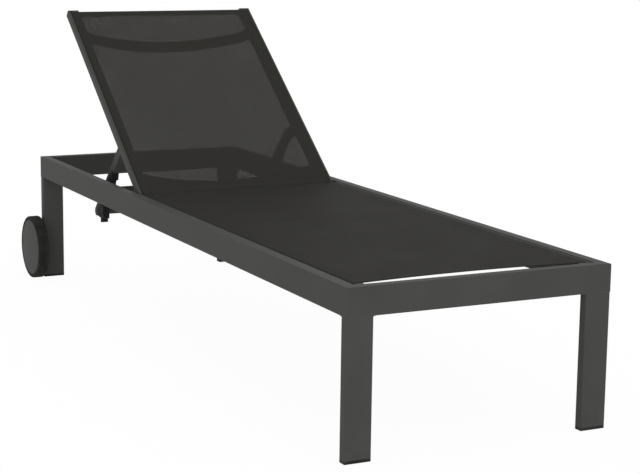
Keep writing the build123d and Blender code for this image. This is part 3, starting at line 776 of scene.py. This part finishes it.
# %% [markdown]
# A straight joint gets a straight fillet. One vertex is spun through a quarter turn, which draws the
# hollow side; the corner closes it to a face, and the face is extruded along the joint. Outside, where a
# leg stands flush with the rails, the weld is ground level. The same fillet, turned round, does that too:
# it fills the groove that the rail's round corner leaves over the leg.

# %% Fillet along a joint
arc_steps = 6


def weld_fillet(bm, corner, run, first, second, throat):
    """Hollow fillet along run, in a corner whose two faces first and second point along."""
    tip = bmesh.ops.create_vert(bm, co=corner + first * throat)["vert"]
    older = set(bm.verts)
    bmesh.ops.spin(bm, geom=tip, cent=corner + (first + second) * throat, axis=second.cross(first),
                   angle=math.pi / 2, steps=arc_steps)
    arc = tip + [vert for vert in bm.verts if vert not in older]
    heel = bmesh.ops.create_vert(bm, co=corner)["vert"]
    section = bm.faces.new(heel + arc)
    grown = bmesh.ops.extrude_face_region(bm, geom=[section])["geom"]
    far = [item for item in grown if isinstance(item, bmesh.types.BMVert)]
    bmesh.ops.translate(bm, vec=run, verts=far)
    sides = {face for vert in heel + arc + far for face in vert.link_faces}
    bmesh.ops.recalc_face_normals(bm, faces=list(sides))


print("a fillet's hollow side has", arc_steps, "strips")

# %% Joint of a leg
tube_radius = 0.0025
leg_throat = 0.0045
rail_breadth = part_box("side_rail_left")[1].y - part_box("side_rail_left")[0].y
up_z = Vector((0, 0, 1))
down_z = Vector((0, 0, -1))


def weld_leg(bm, name):
    """Two ground welds outside, and inside two hollow fillets that start past the leg's round corners."""
    low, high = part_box(name)
    end = math.copysign(1, high.x + low.x)
    side = math.copysign(1, high.y + low.y)
    outer_x, inner_x = (high.x, low.x) if end > 0 else (low.x, high.x)
    outer_y, inner_y = (high.y, low.y) if side > 0 else (low.y, high.y)
    to_middle = Vector((-end, 0, 0))
    inwards = Vector((0, -side, 0))
    deep = to_middle * abs(outer_x - inner_x)
    wide = inwards * (abs(outer_y - inner_y) + leg_throat)
    outer = Vector((outer_x, outer_y, high.z))
    weld_fillet(bm, outer, wide, up_z, to_middle, tube_radius)
    weld_fillet(bm, outer, deep + to_middle * leg_throat, up_z, inwards, tube_radius)
    past_end = to_middle * tube_radius
    under_end_rail = Vector((outer_x, inner_y, high.z)) + past_end
    weld_fillet(bm, under_end_rail, deep - past_end, down_z, inwards, leg_throat)
    past_side = inwards * tube_radius
    under_side_rail = Vector((inner_x, outer_y, high.z)) + past_side
    weld_fillet(bm, under_side_rail, inwards * rail_breadth - past_side, down_z, to_middle, leg_throat)


print("side rail is", round(rail_breadth, 4), "wide")

# %% [markdown]
# ### Bars
# A bowed crossbar is an arc, so it leaves its rail at a slant, and its collar has to lean with it. The slant
# follows from the arc's half width and its bow, so nothing has to be measured on the bar's end itself. The
# round bars are straight, and their collars stand square.

# %% Joint of a bar
weld_throat = 0.0035
bar_depth = 0.020


def bar_end(spot, way, dip):
    """Place on a face where a bar leaves it across the lounger, dipping by so much for each metre."""
    along = Vector((1, 0, 0))
    inwards = Vector((0, -way, 0))
    turned = Matrix((along, inwards.cross(along), inwards + down_z * dip)).transposed()
    return Matrix.Translation(spot) @ turned.to_4x4()


def weld_crossbar(bm, name, place):
    low, high = corners_in(name, place)
    bow = high.z - low.z - bar_depth
    dip = 2 * high.y * bow / (high.y ** 2 - bow ** 2)
    for way in (-1, 1):
        spot = Vector(((low.x + high.x) / 2, way * high.y, -rail_depth / 2))
        outline = flat_outline(bm, high.x - low.x, weld_throat)
        weld_collar(bm, outline, weld_throat, place @ bar_end(spot, way, dip))


def weld_round_bar(bm, name, throat):
    low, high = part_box(name)
    for way in (-1, 1):
        spot = Vector(((low.x + high.x) / 2, way * high.y, (low.z + high.z) / 2))
        outline = round_outline(bm, (high.z - low.z) / 2, throat)
        weld_collar(bm, outline, throat, bar_end(spot, way, 0.0))


print("collar throat:", weld_throat)

# %% [markdown]
# ### All seams
# A weld moves with the tubes that it joins, so each body gets one piece of welds: the frame, the backrest
# and the arms. A single piece for all of them would tear when the backrest goes down.

# %% Weld the frame
sharp_angle = math.radians(35)


def finish_welds(bm, name, body):
    piece = finish_mesh(bm, name, body, finishes["frame_coat"])
    shade_smooth(piece)
    piece.data.set_sharp_from_angle(angle=sharp_angle)
    print(name, "has", len(piece.data.polygons), "faces")


welds = bmesh.new()
for crossbar in ("seat_crossbar_front", "seat_crossbar_rear"):
    weld_crossbar(welds, crossbar, seat_frame)
weld_round_bar(welds, "rest_bar", weld_throat)
for leg in ("leg_front_left", "leg_front_right", "leg_rear_left", "leg_rear_right"):
    weld_leg(welds, leg)
finish_welds(welds, "frame_welds", "frame")

# %% Weld the backrest and the arms
lug_throat = 0.003
tie_throat = 0.0022


def weld_lug(bm, name):
    """Fillet along the foot of a lug, under its upright."""
    low, high = corners_in(name, back_frame)
    way = math.copysign(1, low.y + high.y)
    foot = Vector((low.x, way * max(abs(low.y), abs(high.y)), -rail_depth))
    turned = back_frame.to_3x3()
    weld_fillet(bm, back_frame @ foot, turned @ Vector((high.x - low.x, 0, 0)), turned @ Vector((0, way, 0)),
                turned @ down_z, lug_throat)


welds = bmesh.new()
for crossbar in ("back_crossbar_low", "back_crossbar_high"):
    weld_crossbar(welds, crossbar, back_frame)
for lug in ("arm_lug_left", "arm_lug_right"):
    weld_lug(welds, lug)
finish_welds(welds, "backrest_welds", "backrest")

welds = bmesh.new()
weld_round_bar(welds, "arm_tie", tie_throat)
finish_welds(welds, "support_welds", "support")
